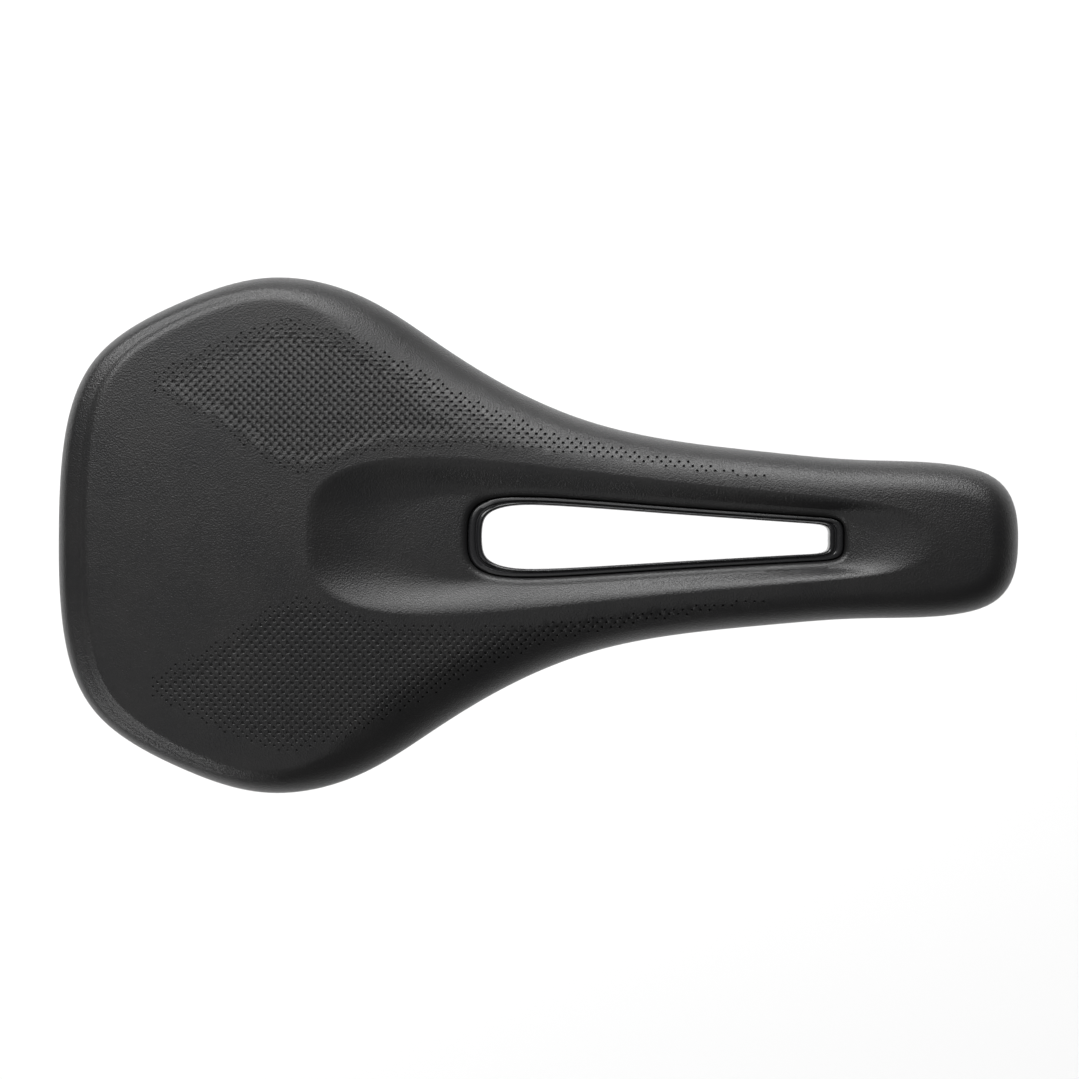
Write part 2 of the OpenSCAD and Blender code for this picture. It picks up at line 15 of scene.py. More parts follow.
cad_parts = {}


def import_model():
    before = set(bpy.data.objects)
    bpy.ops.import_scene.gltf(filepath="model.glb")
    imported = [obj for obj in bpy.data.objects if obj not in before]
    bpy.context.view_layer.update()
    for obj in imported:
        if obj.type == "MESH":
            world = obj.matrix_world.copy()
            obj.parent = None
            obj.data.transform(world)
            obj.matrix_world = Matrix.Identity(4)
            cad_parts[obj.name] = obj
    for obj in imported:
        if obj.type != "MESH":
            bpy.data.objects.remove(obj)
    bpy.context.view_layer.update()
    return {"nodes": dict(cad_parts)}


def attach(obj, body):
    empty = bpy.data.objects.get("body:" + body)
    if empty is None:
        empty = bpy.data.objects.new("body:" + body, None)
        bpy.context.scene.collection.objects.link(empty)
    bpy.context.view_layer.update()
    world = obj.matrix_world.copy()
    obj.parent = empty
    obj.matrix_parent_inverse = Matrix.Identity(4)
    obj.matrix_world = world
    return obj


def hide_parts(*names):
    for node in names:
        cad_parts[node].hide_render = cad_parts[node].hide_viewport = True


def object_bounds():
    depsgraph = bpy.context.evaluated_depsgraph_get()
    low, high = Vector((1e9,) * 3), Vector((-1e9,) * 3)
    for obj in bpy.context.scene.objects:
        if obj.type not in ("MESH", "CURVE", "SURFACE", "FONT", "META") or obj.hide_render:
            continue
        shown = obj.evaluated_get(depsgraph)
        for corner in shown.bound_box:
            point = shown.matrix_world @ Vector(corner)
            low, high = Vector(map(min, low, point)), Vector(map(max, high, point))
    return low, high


MM = 0.001

# ---- shape of the saddle, as in part.scad ----

SADDLE_L = 265
CLAMP_STATION = 125  # station of the seatpost clamp, which is the origin
TOP_H = 46           # height of the top over the rail's axis at the waist
CHANNEL_D = 4.5      # depth of the channel below the pads
LIP_H = 5            # how far the cover turns down into the slot
LIP_R = 2            # rounding there
COVER_T = 1
FOAM_T = 11
SHELL_T = 2.8
GAP = 0.12           # room left between neighbouring layers
SKIRT_TUCK = 1       # how far the skirt leans in towards its lower edge
FOAM_EDGE = 1.4      # thickness of the foam down the skirt
SHELL_DOME = 2       # height of the shell's rounded edge
SKIRT_WALL = 2.2     # wall of the shell's skirt
HEM_H = 7            # how far the cover runs up inside the skirt
SHELL_INSET = COVER_T + FOAM_EDGE + 2 * GAP

# Half outline from the rear centre to the nose centre: station, half-width, rim width, rim height,
# skirt height, how far up the rim the crease runs as a share of its width, depth of the crease, and
# the share of the rim's width at which the finely meshed patch ends
OUTLINE = [
    (0, 0, 8, 10, 8, 0.91, 0.7, 1.15), (0.5, 28, 8, 10, 8, 0.91, 0.7, 1.15),
    (8, 51.5, 8, 10, 8, 0.8, 0.7, 1.15), (34, 65, 8, 10, 8, 0.58, 0.7, 1.1),
    (58, 73.5, 8.5, 10, 8.5, 0.62, 0.5, 1), (84, 67.5, 13, 11, 10, 0.66, 0, 0.6),
    (104, 53, 20, 14, 11, 0.7, 0, 0.4), (125, 40, 17, 14.5, 12, 0.7, 0, 0.34),
    (148, 30.5, 12.5, 13.5, 12, 0.7, 0, 0.3), (173, 26, 10.5, 12.5, 11.5, 0.7, 0, 0.3),
    (202, 23.3, 10, 11.5, 10.5, 0.7, 0, 0.45), (221, 21.4, 9.5, 11, 9.5, 0.7, 0, 0.8),
    (263, 22, 9, 11, 9, 0.7, 0, 1), (266, 0, 9, 11.5, 8.5, 0.7, 0, 1),
]
# Upper edge of the channel: station, half-width, where its wall begins, and sharpness of the edge
CHANNEL = [
    (69, 0, 0.4, 1), (69, 8, 0.4, 1), (72, 14, 0.35, 1), (79, 18.5, 0.2, 0.8), (90, 21, 0, 0.4),
    (103, 22, -0.3, 0), (117, 21.5, -0.5, 0), (135, 19.5, -0.5, 0), (155, 17.2, -0.5, 0),
    (176, 14.8, -0.5, 0), (199, 12.8, -0.5, 0), (218, 11, -0.4, 0), (237, 8.5, -0.35, 0),
    (244, 0, -0.35, 0),
]
# Where the cover turns down into the slot, and the open slot inside its liner
SLOT_WALL = [
    (112.5, 0), (112.5, 2.6), (112.8, 5.2), (113.9, 7.7), (116.5, 9.8), (121.5, 11.2), (131, 11.4),
    (144, 10.6), (158, 9.6), (174, 8.4), (192, 7.3), (208, 6.3), (216.5, 5.8), (216, 0),
]
SLOT = [
    (116.5, 0), (116.6, 2.2), (116.9, 4.4), (118, 6.2), (120.5, 7.7), (125, 8.7), (131.5, 8.9),
    (144, 8.25), (158, 7.3), (174, 6.2), (192, 5.1), (206, 4.2), (212.6, 3.9), (211.8, 0),
]
# Spaced evenly from one step behind the rear edge: height over TOP_H, crown per square millimetre of
# half-width, and the foam's thickness over FOAM_T
SPINE = [-3, 1.5, 4, 3.3, 1, 0, 0, -1, -6.5, -16]
CROWN = [0.001, 0.001, 0.001, 0.0012, 0.002, 0.0027, 0.0033, 0.004, 0.004, 0.004]
FOAM = [0, 0, 0, -0.3, -1, -1.5, -2, -2, -2, -2]

CREASE_FULL = 0.7    # depth of the crease where it is deepest, round the back
CREASE_W = 1.2       # half the width of its groove
CREASE_WALL = 2.6    # width of the step down from the pad to the ledge outside the crease
GROOVE_SHARE = 0.35  # depth of the groove, as a share of the crease's depth
LEDGE_SHARE = 1.3    # height of the step, as a share of the same
LEDGE_SLOPE = 0.5    # how steeply the ledge falls to the edge
LEDGE_ROLL = 3       # width of the rounded edge beyond the ledge

# Perforated zone on the left wing: x, y. The right wing mirrors it.
HOLE_ZONE = [
    (-99, 39), (-82, 29.7), (-66, 18.8), (-57, 16.4), (-50, 17.4), (-43.5, 20.8), (-32, 23.8),
    (-10, 24.3), (12, 22.8), (35, 20.1), (56, 17.3), (70, 16), (70, 17.6), (56, 19.8), (35, 23.8),
    (13, 28.6), (-4, 34.7), (-10, 37.6), (-20, 43), (-31, 49), (-46, 56), (-58, 59.2), (-66, 59),
    (-76.6, 55.5), (-86, 50.2), (-99, 44.5),
]
HOLE_PITCH = (2.45, 1.22)           # along a row, and from row to row
HOLE_R = 0.52        # half the width of a perforation: a square with cut corners and a bevelled rim
HOLE_D = 0.5         # its depth
HOLE_CORNERS = [(1, -0.5), (1, 0.5), (0.5, 1), (-0.5, 1), (-1, 0.5), (-1, -0.5), (-0.5, -1), (0.5, -1)]
HOLE_ROWS = [(0.8, 0.16), (0.7, 1)]      # share of its width, share of its depth
HOLE_SMALL = 0.62    # size of the outermost perforations, as a share of the full size
HOLE_FADE = 5        # how far inside the zone they reach the full size
HOLE_MARGIN = 0.35   # least distance from a centre to the zone's edge
HOLE_GAP = 0.3       # least distance from a perforation to the channel's rows

# Mesh of the cover
AROUND = 12          # points along each span of a loop
AROUND_COARSE = 8    # the same for the pieces below the cover
PAD_ROWS = [0.01, 0.02, 0.03]       # rows just outside the channel, as shares of the pad's width
GRID_STEP = 2.1      # distance between the points that fill the patch, and between their rows
GRID_ROW = 0.87 * GRID_STEP
GRID_APART = 0.85    # least distance between two of them
ZONE_CLEAR = 0.2     # how far into the perforated zone they may lie
INNER_CLEAR = 0.8    # least distance to the patch's inner loop
OUTER_CLEAR = 0.6    # the same to its outer loop
HOLE_CLEAR = 1       # the same to a perforation's centre
SHARP = math.radians(38)            # an edge that turns more than this stays sharp

# Section of the slot liner. Its upper face and its foot: share of the way from the slot's wall to the
# open slot, and height over the lip or the shell's underside. Its hook: distance out past the wall.
LINER_LIP = [
    (0, -1.4), (0.03, -0.6), (0.1, -0.15), (0.2, 0), (0.44, 0.05), (0.52, -0.15), (0.57, -0.5),
    (0.63, -0.5), (0.67, -0.1), (0.73, 0.2), (0.82, 0.3), (0.91, 0.15), (0.97, -0.2), (1, -0.7),
]
LINER_FOOT = [(1, -1.4), (0.97, -1.9), (0.9, -2.2), (0.6, -2.2)]
LINER_HOOK = [(1.2, -2.1), (1.6, -1.7), (1.6, -2 * GAP), (-GAP, -2 * GAP)]
LINER_SINK = 1.6     # how far the liner's lip lies below the channel's floor

SHELL_CORNER = (1.8, 1.2)           # rounding inside the shell's skirt: width, height

# Rail, left half from its rear end to the nose: corner and bend radius
RAIL = [
    ((-101, 30.4, 26), 0), ((-76, 28, 26), 18), ((-45.9, 22, 0), 26), ((45.2, 22, 0), 40),
    ((90, 10, 17), 24), ((118, 10, 17), 10),
]
RAIL_D = 7
SIDES = 40           # facets round the rail and the screw bosses

# Screw bosses under the shell: x, y, height of their lower face
NOSE_BOSSES = [(100.5, 0, 26), (110, 0, 26)]
REAR_BOSS = (-94, 29.8, 32.2)       # midway between the two bosses on the left
REAR_TURN = math.radians(5)         # slant of the rail's end, which the two lie across
REAR_SPREAD = 10                    # distance of each from that middle
BOSS_R = 4.6
BORE_R = 2.93                       # bore for a thread insert: radius and depth
BORE_H = 4.1

# Ribs under the shell on its left side: height and the line they follow. The right side mirrors them.
RIBS = [
    (3.2, [(-112, 12), (-60, 12), (-24, 16)]),
    (3.2, [(-106, 46), (-84, 50), (-62, 57)]),
    (3.2, [(-66, 60), (-50, 40), (-36, 24)]),
    (3.2, [(-112, 22), (-104, 28)]),
    (2.6, [(-78, 34), (-62, 42)]),
    (2.6, [(-24, 16), (20, 15), (60, 12.5), (84, 10.5)]),
]
RIB_T = 1.5
RIB_SECTION = [(0.3, 0.9), (0, -0.6), (-0.15, -0.9), (-0.5, -1)]    # over half a rib's width; height
ROOT = 0.6           # how far bosses and ribs reach up into the shell


# ---- splines and the surface ----


def spline_weights(f):
    """Weights of four control points at a share f along a span of a cubic B-spline."""
    return np.array([
        (1 - f) ** 3 / 6,
        (3 * f**3 - 6 * f**2 + 4) / 6,
        (-3 * f**3 + 3 * f**2 + 3 * f + 1) / 6,
        f**3 / 6,
    ])


def slope_weights(f):
    """The same four points' weights in the spline's slope."""
    return np.array([-((1 - f) ** 2) / 2, (3 * f**2 - 4 * f) / 2, (-3 * f**2 + 2 * f + 1) / 2, f**2 / 2])


def loop_of(half, samples):
    """Points and slopes round a closed B-spline whose second half mirrors the first in y."""
    half = np.array(half, float)
    half[:, 0] -= CLAMP_STATION
    mirrored = half[-2:0:-1].copy()
    mirrored[:, 1] *= -1
    control = np.vstack([half, mirrored])
    u = np.arange(len(control) * samples) / samples
    first = np.floor(u).astype(int)
    pick = control[(first[:, None] + np.arange(-1, 3)) % len(control)]
    weights, slopes = spline_weights(u - first), slope_weights(u - first)
    return np.einsum("kn,nkc->nc", weights, pick), np.einsum("kn,nkc->nc", slopes, pick)


def inward(slope):
    """Unit directions square to a loop's slopes, into the loop."""
    length = np.hypot(slope[:, 0], slope[:, 1])
    return np.stack([slope[:, 1] / length, -slope[:, 0] / length], 1)


def along(values, x):
    """A value that follows a B-spline over the saddle's length."""
    values = np.array(values, float)
    spans = len(values) - 3
    t = np.clip((x + CLAMP_STATION) / SADDLE_L * spans, 0, spans - 0.0001)
    first = np.floor(t).astype(int)
    return (spline_weights(t - first) * values[first[None] + np.arange(4)[:, None]]).sum(0)


def pad_z(p):
    """Height of the saddle's top over points in plan, with no channel."""
    return TOP_H + along(SPINE, p[:, 0]) - along(CROWN, p[:, 0]) * p[:, 1] ** 2


def foam_floor(p):
    """Height of the shell's upper face under the foam's full thickness."""
    return pad_z(p) - COVER_T - 2 * GAP - FOAM_T - along(FOAM, p[:, 0])


def smooth(t):
    t = np.clip(t, 0, 1)
    return t * t * (3 - 2 * t)


def mixed(a, b, q):
    return a * (1 - q) + b * q


def at(p, z):
    return np.column_stack([p, z])


class Sections:
    """What each section round the saddle is drawn from, and rows of points that run round it. In the
    rows, e is the depth under the outer face."""

    def __init__(self, samples):
        edge, edge_slope = loop_of(OUTLINE, samples)
        channel, _ = loop_of(CHANNEL, samples)
        wall, wall_slope = loop_of(SLOT_WALL, samples)
        slot, _ = loop_of(SLOT, samples)
        self.edge = edge[:, :2]
        self.inward = inward(edge_slope)
        self.rim_w, self.rim_h, self.skirt_h, crease_at, self.crease_d, self.patch = edge[:, 2:].T
        self.crease_in = crease_at * self.rim_w
        self.channel = channel[:, :2]
        self.begins, self.sharp = channel[:, 2:].T
        self.wall = wall
        self.away = -inward(wall_slope)
        self.slot = slot
        self.equator = pad_z(self.edge) - self.rim_h
        self.hem = self.equator - self.skirt_h
        self.floor = self.floor_level()

    def wall_share(self, q):
        """Depth of the channel a share q of the way up its wall, as a share of the whole."""
        t = np.maximum((q - self.begins) / (1 - self.begins), 0)
        return 1 - t * t * mixed(3 - 2 * t, 1, self.sharp)

    def floor_level(self):
        return pad_z(self.wall + self.away * LIP_R) - CHANNEL_D * self.wall_share(0)

    def inset(self, d):
        """Points in plan at a distance in from the edge."""
        return self.edge + self.inward * np.reshape(d, (-1, 1))

    def lip(self, e, angle):
        """A row on the rounding into the slot, from upright, at 0 degrees, to level, at 90."""
        out = LIP_R - (LIP_R - e) * math.cos(angle)
        up = (LIP_R - e) * math.sin(angle) - LIP_R
        return at(self.wall + self.away * out, self.floor + up)

    def channel_row(self, e, q):
        """A row on the channel's wall, from the slot, at q = 0, to its upper edge."""
        p = mixed(self.wall + self.away * LIP_R, self.channel, q)
        return at(p, pad_z(p) - CHANNEL_D * self.wall_share(q) - e)

    def pad_row(self, e, q):
        """A row on the pad, from the channel's edge, at q = 0, to the rim."""
        p = mixed(self.channel, self.inset(self.rim_w), q)
        return at(p, pad_z(p) - e)

    def skin_at(self, d, e=0.0):
        """A row at a distance d in from the edge, on the rim or on the pad inside it."""
        p = self.inset(d)
        ledge = np.clip(self.crease_d / CREASE_FULL, 0, 1)
        roll = mixed(self.rim_w, LEDGE_ROLL, ledge)
        climb = np.sqrt(1 - np.clip(1 - (d - e) / (roll - e), 0, 1) ** 2)
        step = LEDGE_SHARE * self.crease_d * smooth(0.5 + (self.crease_in - d) / CREASE_WALL)
        step += LEDGE_SLOPE * ledge * np.maximum(self.crease_in - d, 0)
        groove = GROOVE_SHARE * self.crease_d * np.exp(-(((d - self.crease_in) / CREASE_W) ** 2))
        return at(p, pad_z(p) - self.rim_h + (self.rim_h - e - step) * climb - groove)

    def rim_row(self, e, v):
        """From the patch's edge, at v = 0, to the widest line, at v = 1."""
        width = self.rim_w * np.maximum(self.patch, 1)
        start = np.arcsin(1 - self.rim_w * self.patch / width)
        a = start + (math.pi / 2 - start) * v
        return self.skin_at(width - (width - e) * np.sin(a), e)

    def skirt(self, e, v, lift=0.0):
        """A row on the skirt, from the widest line, at v = 0, to the hem."""
        p = self.inset(e + SKIRT_TUCK * v * v)
        return at(p, np.maximum(self.equator - self.skirt_h * v, self.hem + lift))


# ---- mesh building ----


def new_object(name, vertices, faces, body="root"):
    mesh = bpy.data.meshes.new(name)
    mesh.from_pydata((np.asarray(vertices) * MM).tolist(), [], faces)
    mesh.validate()
    piece = bpy.data.objects.new(name, mesh)
    bpy.context.scene.collection.objects.link(piece)
    tidy_normals(mesh)
    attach(piece, body)
    return piece


def tidy_normals(mesh):
    work = bmesh.new()
    work.from_mesh(mesh)
    bmesh.ops.recalc_face_normals(work, faces=work.faces)
    for face in work.faces:
        face.smooth = True
    work.to_mesh(mesh)
    work.free()
    mesh.set_sharp_from_angle(angle=SHARP)


def ring_faces(rows, around, closed=False, base=0):
    """Quads between closed rows of vertices that follow each other."""
    last = rows if closed else rows - 1
    return [
        (
            base + j * around + i,
            base + j * around + (i + 1) % around,
            base + (j + 1) % rows * around + (i + 1) % around,
            base + (j + 1) % rows * around + i,
        )
        for j in range(last)
        for i in range(around)
    ]


def inside(points, polygon):
    """Which points lie inside a closed polygon."""
    result = np.zeros(len(points), bool)
    ends = np.roll(polygon, -1, 0)
    for (x0, y0), (x1, y1) in zip(polygon, ends):
        if y0 == y1:
            continue
        crosses = (points[:, 1] > y0) != (points[:, 1] > y1)
        x = x0 + (points[:, 1] - y0) * (x1 - x0) / (y1 - y0)
        result ^= crosses & (points[:, 0] < x)
    return result


def edge_distance(points, polygon):
    """Distance from each point to the nearest side of a closed polygon."""
    best = np.full(len(points), 1e9)
    ends = np.roll(polygon, -1, 0)
    for a, b in zip(polygon, ends):
        d = b - a
        t = np.clip(((points - a) @ d) / max(d @ d, 1e-9), 0, 1)
        best = np.minimum(best, np.hypot(*(points - a - t[:, None] * d).T))
    return best


def loop_edges(first, count):
    return [(first + i, first + (i + 1) % count) for i in range(count)]


# ---- cover ----


def hole_centres():
    """Centres and radii of the left wing's perforations: a staggered lattice that thins at its edge."""
    zone = np.array(HOLE_ZONE, float)
    pitch_x, pitch_y = HOLE_PITCH
    low, high = zone.min(0), zone.max(0)
    found = []
    for row in range(int((high[1] - low[1]) / pitch_y) + 2):
        y = low[1] + row * pitch_y
        x = np.arange(low[0] + (row % 2) * pitch_x / 2, high[0], pitch_x)
        found.append(np.column_stack([x, np.full(len(x), y)]))
    centres = np.vstack(found)
    centres = centres[inside(centres, zone)]
    depth = edge_distance(centres, zone)
    keep = depth > HOLE_MARGIN
    size = HOLE_SMALL + (1 - HOLE_SMALL) * np.clip(depth[keep] / HOLE_FADE, 0, 1)
    return centres[keep], HOLE_R * size


class Surface:
    """Looks up height and normal of the outer skin, from above."""

    def __init__(self, rows):
        around = len(rows[0])
        vertices = np.vstack(rows)
        self.tree = BVHTree.FromPolygons(vertices.tolist(), ring_faces(len(rows), around))

    def point(self, x, y):
        place, normal, _, _ = self.tree.ray_cast(Vector((x, y, 100)), Vector((0, 0, -1)))
        return place, normal if normal.z > 0 else -normal


def thinned(points, spacing):
    """Drops points that lie closer than the spacing to one already kept."""
    kept = {}
    for p in points:
        cell = (int(p[0] // spacing), int(p[1] // spacing))
        around = [(cell[0] + i, cell[1] + j) for i in (-1, 0, 1) for j in (-1, 0, 1)]
        near = [kept[c] for c in around if c in kept]
        if all(math.hypot(p[0] - q[0], p[1] - q[1]) >= spacing for q in near):
            kept[cell] = p
    return np.array(list(kept.values()))


def both_wings(inner):
    """Centres and radii of all perforations that lie clear of the channel."""
    centres, radii = hole_centres()
    centres = np.vstack([centres, centres * [1, -1]])
    radii = np.concatenate([radii, radii])
    apart = ~inside(centres, inner) & (edge_distance(centres, inner) > HOLE_R + HOLE_GAP)
    return centres[apart], radii[apart]


def patch_grid(inner, outer, rings, centres):
    """Points that fill the patch, clear of its two loops and of the perforations."""
    zone = np.array(HOLE_ZONE, float)
    loops = np.vstack([inner, outer])
    x = np.arange(loops[:, 0].min(), loops[:, 0].max(), GRID_STEP)
    y = np.arange(0, loops[:, 1].max(), GRID_ROW)
    grid = np.array([
        (a + (k % 2) * GRID_STEP / 2, side * b)
        for k, b in enumerate(y)
        for a in x
        for side in ((1, -1) if k else (1,))
    ])
    grid = thinned(np.vstack([rings, grid]), GRID_APART)
    grid = grid[inside(grid, outer) & ~inside(grid, inner)]
    folded = np.abs(grid * [0, 1]) + grid * [1, 0]
    clear = ~inside(folded, zone) | (edge_distance(folded, zone) < ZONE_CLEAR)
    clear &= edge_distance(grid, inner) > INNER_CLEAR
    clear &= edge_distance(grid, outer) > OUTER_CLEAR
    grid = grid[clear]
    near = np.array([np.min(np.hypot(*(centres - p).T)) for p in grid])
    return grid[near > HOLE_CLEAR]


def patch_triangles(flat, around, holes, inner, outer):
    """Triangles between the patch's loops, which come first in flat, and outside its holes, which
    follow them."""
    corners = len(HOLE_CORNERS)
    start = 2 * around
    edges = loop_edges(0, around) + loop_edges(around, around)
    for k in range(holes):
        edges += loop_edges(start + k * corners, corners)
    _, _, faces, source, _, _ = delaunay_2d_cdt([Vector(p) for p in flat.tolist()], edges, [], 0, 1e-6)
    triangles = np.array([[source[i][0] for i in face] for face in faces])
    middle = flat[triangles].mean(1)
    keep = inside(middle, outer) & ~inside(middle, inner)
    on_rim = (triangles >= start) & (triangles < start + holes * corners)
    hole = np.where(on_rim, (triangles - start) // corners, -1)
    in_hole = (hole[:, 0] >= 0) & (hole[:, 0] == hole[:, 1]) & (hole[:, 1] == hole[:, 2])
    return [tuple(int(i) for i in t) for t in triangles[keep & ~in_hole]]


def hole_walls(rim, centre, base, lower):
    """Rows below a perforation's rim and its floor. Base and lower number the rim's first vertex and
    the first new one."""
    corners = len(HOLE_CORNERS)
    vertices, faces = [], []
    for share, depth in HOLE_ROWS:
        for place, normal in rim:
            heart = Vector((*centre, place.z))
            vertices.append(tuple(heart + (place - heart) * share - normal * HOLE_D * depth))
        for i in range(corners):
            after = (i + 1) % corners
            faces.append((base + i, base + after, lower + after, lower + i))
        base = lower
        lower += corners
    faces.append(tuple(base + i for i in range(corners)))
    return vertices, faces


def perforated_patch(surface, inner, outer, rings):
    """Triangles between two loops, with a blind hole at each perforation. Rings are extra points for
    the curved part. Returns the new vertices, after the two loops' own, and the faces."""
    corners = len(HOLE_CORNERS)
    start = len(inner) + len(outer)
    centres, radii = both_wings(inner)
    grid = patch_grid(inner, outer, rings, centres)
    rims = centres[:, None] + np.array(HOLE_CORNERS)[None] * radii[:, None, None]
    flat = np.vstack([inner, outer, rims.reshape(-1, 2), grid])
    faces = patch_triangles(flat, len(inner), len(centres), inner, outer)

    placed = [surface.point(*p) for p in flat[start:]]
    vertices = [tuple(place) for place, _ in placed]
    for k, centre in enumerate(centres):
        rim = placed[k * corners:(k + 1) * corners]
        made, walls = hole_walls(rim, centre, start + k * corners, start + len(vertices))
        vertices += made
        faces += walls
    return vertices, faces


def cover_rows(cuts):
    """Rows of the cover's outer face up to the patch and on from it, then its inner face."""
    end = at(cuts.wall, cuts.floor - LIP_H)
    mouth = [end] + [cuts.lip(0, math.radians(a)) for a in (0, 15, 30, 45, 60, 75)]
    mouth += [cuts.channel_row(0, q) for q in np.linspace(0, 1, 20)]
    mouth += [cuts.pad_row(0, q) for q in PAD_ROWS]

    outside = [cuts.rim_row(0, v) for v in np.linspace(0, 1, 50)]
    outside += [cuts.skirt(0, v) for v in (0.15, 0.3, 0.45, 0.6, 0.75, 0.88)]

    far = SHELL_INSET + SKIRT_WALL + GAP
    fold = [
        (0.02, 0.6), (0.25, 0.2), (0.7, 0), (far / 2, 0), (far + 0.4, 0), (far + 0.85, 0.2),
        (far + COVER_T, 0.6), (far + COVER_T, HEM_H / 2), (far + COVER_T, HEM_H - 0.3),
        (far + COVER_T - 0.3, HEM_H), (far, HEM_H), (far, COVER_T), (COVER_T, COVER_T),
    ]
    outside += [at(cuts.inset(SKIRT_TUCK + inset), cuts.hem + height) for inset, height in fold]

    back = [cuts.skirt(COVER_T, v, COVER_T) for v in (0.7, 0.35)]
    back += [cuts.rim_row(COVER_T, v) for v in (1, 0.85, 0.7, 0.55, 0.4, 0.3, 0.2, 0.1, 0)]
    back += [mixed(cuts.channel_row(COVER_T, 1), cuts.rim_row(COVER_T, 0), q) for q in (0.66, 0.33)]
    back += [cuts.channel_row(COVER_T, q) for q in (1, 0.75, 0.5, 0.25, 0)]
    back += [cuts.lip(COVER_T, math.radians(a)) for a in (45, 0)]
    back += [at(cuts.wall + cuts.away * COVER_T, cuts.floor - LIP_H)]
    return mouth, outside, back


def outer_skin(cuts):
    pads = [cuts.pad_row(0, q) for q in np.linspace(0, 1, 20)]
    turns = np.linspace(0, math.pi / 2, 60)[1:]
    return Surface(pads + [cuts.skin_at(cuts.rim_w * (1 - math.sin(a))) for a in turns])


def make_cover():
    cuts = Sections(AROUND)
    around = len(cuts.edge)
    mouth, outside, back = cover_rows(cuts)
    rings = [cuts.skin_at(cuts.rim_w * share)[::2, :2] for share in np.linspace(0.34, 1, 16)]
    patch_vertices, patch_faces = perforated_patch(
        outer_skin(cuts), mouth[-1][:, :2], outside[0][:, :2], np.vstack(rings)
    )

    rows = mouth + outside + back
    last = (len(rows) - 1) * around
    faces = ring_faces(len(mouth), around)
    faces += ring_faces(len(rows) - len(mouth), around, base=len(mouth) * around)
    faces += [(last + i, last + j, j, i) for i, j in loop_edges(0, around)]

    own = 2 * around
    loops_at = (len(mouth) - 1) * around
    rest_at = len(rows) * around - own
    faces += [tuple(i + (loops_at if i < own else rest_at) for i in face) for face in patch_faces]
    piece = new_object("cover_skin", np.vstack(rows + [np.array(patch_vertices)]), faces)
    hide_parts("cover")
    return piece


# ---- slot liner ----


def make_liner():
    cuts = Sections(AROUND_COARSE)
    lip = cuts.floor - LINER_SINK
    under = foam_floor(cuts.wall) - SHELL_T
    outer = cuts.wall - cuts.away * GAP
    rows = [at(mixed(outer, cuts.slot, q), lip + h) for q, h in LINER_LIP]
    rows += [at(mixed(outer, cuts.slot, q), under + h) for q, h in LINER_FOOT]
    rows += [at(cuts.wall + cuts.away * out, under + h) for out, h in LINER_HOOK]
    faces = ring_faces(len(rows), len(cuts.edge), closed=True)
    piece = new_object("liner_ring", np.vstack(rows), faces)
    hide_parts("slot_liner")
    return piece


# ---- base shell ----


def shell_rows(cuts, inset, thick, lift):
    """Rows of the shell's upper face, or with a thickness the face that far below it."""
    rows = []
    for q in np.linspace(0, 1, 6):
        p = mixed(cuts.wall + cuts.away * GAP, cuts.channel, q)
        rows.append(at(p, foam_floor(p) - thick))
    for q in np.linspace(0.1, 1, 14):
        p = mixed(cuts.channel, cuts.inset(cuts.rim_w), q)
        rim = pad_z(p) - cuts.rim_h + SHELL_DOME
        rows.append(at(p, mixed(foam_floor(p), rim, smooth(2 * q - 1)) - thick))
    width, height = SHELL_CORNER
    for a in np.radians(np.linspace(10, 90, 9)):
        if thick:
            p = cuts.inset(inset + width * (1 - math.sin(a)))
            z = cuts.equator + SHELL_DOME - thick - height * (1 - math.cos(a))
        else:
            p = cuts.inset(cuts.rim_w - (cuts.rim_w - inset) * math.sin(a))
            z = pad_z(p) - cuts.rim_h + SHELL_DOME * math.cos(a)
        rows.append(at(p, z))
    return rows + [cuts.skirt(inset, v, lift) for v in (0.4, 0.8, 1)]


def boss_spots():
    """Centres of the six screw bosses' lower faces."""
    out = (REAR_SPREAD * math.sin(REAR_TURN), REAR_SPREAD * math.cos(REAR_TURN))
    x, y, z = REAR_BOSS
    rear = [(x + k * out[0], side * (y + k * out[1]), z) for k in (-1, 1) for side in (-1, 1)]
    return rear + NOSE_BOSSES


def turned(profile, place):
    """Vertices and faces of a profile (radius, height) turned round an upright axis at a place."""
    x, y, _ = place
    turns = np.arange(SIDES) * 2 * math.pi / SIDES
    vertices = [(x + r * math.cos(a), y + r * math.sin(a), z) for r, z in profile for a in turns]
    faces = ring_faces(len(profile), SIDES)
    faces.append(tuple(range((len(profile) - 1) * SIDES, len(profile) * SIDES)))
    return vertices, faces


def boss(place, under):
    """A screw boss with a flared root and an open bore."""
    x, y, z = place
    top = under(x, y) + ROOT
    return turned([
        (BOSS_R + 1.4, top), (BOSS_R + 1, top - 1.2), (BOSS_R + 0.4, top - 2), (BOSS_R, top - 3),
        (BOSS_R, z + 0.3), (BOSS_R - 0.3, z), (BORE_R + 0.2, z), (BORE_R, z + 0.2),
        (BORE_R, z + BORE_H),
    ], place)


